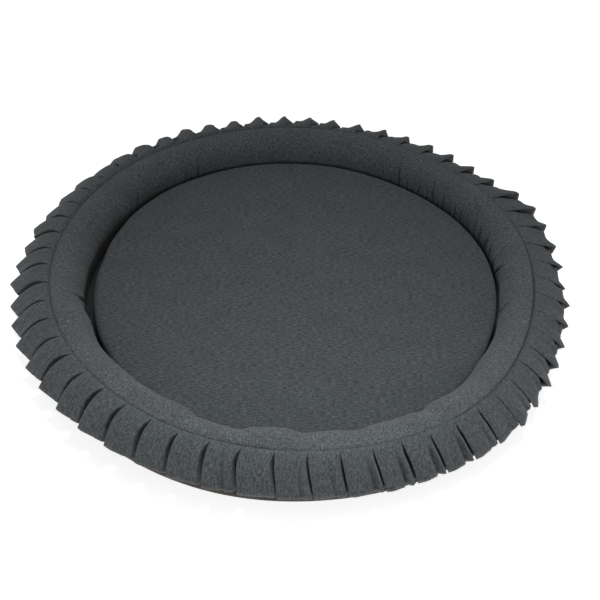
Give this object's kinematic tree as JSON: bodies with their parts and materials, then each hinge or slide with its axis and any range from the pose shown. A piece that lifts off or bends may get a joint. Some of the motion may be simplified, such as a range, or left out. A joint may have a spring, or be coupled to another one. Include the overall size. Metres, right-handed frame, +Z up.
{
  "type": "round nest mat with pleated ruffle",
  "caption": "Round padded nest mat: a flat filled floor pad inside a stuffed ring, with a knife-pleated cloth ruffle sewn around the outside.",
  "frame": {"origin": "middle of the underside, on the surface that the mat lies on", "axes": "+Z up out of the nest; +X to the right and +Y away from a viewer at the side where the ruffle hangs steepest"},
  "size_m": [1.0115, 1.017, 0.093],
  "materials": {
    "pad_cloth": "matte charcoal heathered weave",
    "ring_cloth": "matte charcoal heathered weave",
    "ruffle_cloth": "matte charcoal heathered weave",
    "base_cloth": "matte warm grey weave"
  },
  "bodies": {
    "root": {"floor_pad": "pad_cloth", "bolster_ring": "ring_cloth", "ruffle": "ruffle_cloth", "base_panel": "base_cloth"}
  },
  "joints": []
}
